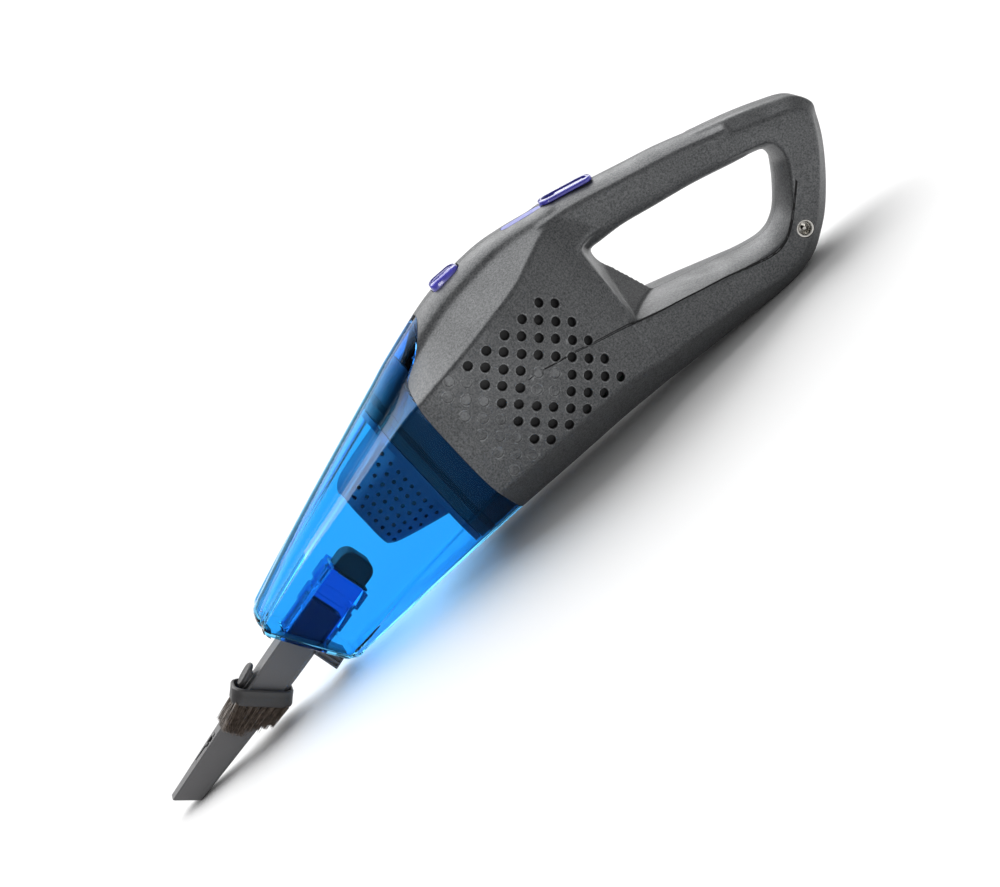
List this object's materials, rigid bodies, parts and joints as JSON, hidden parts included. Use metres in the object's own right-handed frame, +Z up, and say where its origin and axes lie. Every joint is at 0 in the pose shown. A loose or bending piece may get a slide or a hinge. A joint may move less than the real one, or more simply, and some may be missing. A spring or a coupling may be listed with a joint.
{
  "type": "handheld vacuum",
  "caption": "Cordless handheld vacuum: wedge-shaped clear dust cup, vented clamshell body with a loop handle, and a slanted crevice tool with a sliding brush collar.",
  "frame": {"origin": "centre of the bounding box at the plane the object lies on, which touches the belly and the tip of the tool", "axes": "+X towards the handle, +Z up, -Y is the side with the charging jack"},
  "size_m": [0.469, 0.092, 0.1207],
  "materials": {
    "body_plastic": "satin metallic-flake moulding",
    "dark_plastic": "moulded",
    "cup_plastic": "clear tinted",
    "accent_plastic": "polished",
    "lens_plastic": "translucent",
    "tool_plastic": "fine texture",
    "collar_plastic": "fine texture",
    "bristle": "filament",
    "rubber_black": "soft",
    "steel_bright": "plated",
    "jack_metal": "nickel",
    "fan_plastic": "moulded",
    "cell_wrap": "shrink wrap over a steel can",
    "board_green": "laminate",
    "screen_plastic": "perforated moulding",
    "pleat_paper": "pleated",
    "wire_red": "insulation",
    "led_clear": "clear"
  },
  "bodies": {
    "housing": {"right_shell": "body_plastic", "left_shell": "body_plastic", "shell_screws": "steel_bright", "front_spigot": "dark_plastic", "seal_ring": "rubber_black", "motor_can": "steel_bright", "motor_end_cap": "fan_plastic", "motor_mount": "dark_plastic", "motor_screws": "steel_bright", "fan_shroud": "dark_plastic", "battery_cells": "cell_wrap", "battery_tray": "dark_plastic", "circuit_board": "board_green", "charge_jack": "jack_metal", "jack_pin": "jack_metal", "switch_module": "dark_plastic", "indicator_lens": "lens_plastic", "status_led": "led_clear", "latch_spring": "steel_bright", "wiring": "wire_red"},
    "rotor": {"motor_shaft": "steel_bright", "impeller": "fan_plastic"},
    "switch_knob": {"power_switch": "accent_plastic"},
    "latch": {"release_button": "accent_plastic"},
    "cup": {"dust_cup": "cup_plastic", "inlet_tube": "cup_plastic", "flap_pin": "steel_bright"},
    "flap": {"flap_valve": "rubber_black"},
    "filter": {"filter_screen": "screen_plastic", "filter_flange": "screen_plastic", "filter_pleats": "pleat_paper", "filter_tab": "accent_plastic"},
    "tool": {"crevice_tool": "tool_plastic"},
    "brush": {"brush_collar": "collar_plastic", "brush_bristles": "bristle"}
  },
  "joints": [
    {"name": "rotor_spin", "type": "hinge", "parent": "housing", "child": "rotor", "pos_m": [0.00774, 0, 0.05844], "axis": [0.9998, 0, 0.0188], "continuous": true},
    {"name": "switch_slide", "type": "slide", "parent": "housing", "child": "switch_knob", "axis": [-0.9723, 0, 0.2338], "range_m": [0, 0.006]},
    {"name": "latch_press", "type": "slide", "parent": "housing", "child": "latch", "axis": [0.0188, 0, -0.9998], "range_m": [0, 0.002], "stiffness_N_per_m": 400, "springref_m": -0.002, "deforming": ["latch_spring"]},
    {"name": "cup_slide", "type": "slide", "parent": "housing", "child": "cup", "axis": [-0.9998, 0, -0.0188], "range_m": [0, 0.12]},
    {"name": "filter_slide", "type": "slide", "parent": "housing", "child": "filter", "axis": [-0.9998, 0, -0.0188], "range_m": [0, 0.06]},
    {"name": "flap_hinge", "type": "hinge", "parent": "cup", "child": "flap", "pos_m": [-0.09606, 0, 0.04711], "axis": [0, -1, 0], "range_deg": [0, 50]},
    {"name": "tool_slide", "type": "slide", "parent": "cup", "child": "tool", "axis": [-0.9733, 0, -0.2297], "range_m": [0, 0.045]},
    {"name": "brush_slide", "type": "slide", "parent": "tool", "child": "brush", "axis": [-0.9733, 0, -0.2297], "range_m": [0, 0.04]}
  ],
  "couplings": [
    {"joint": "filter_slide", "follows": "cup_slide", "ratio": 0.5}
  ]
}
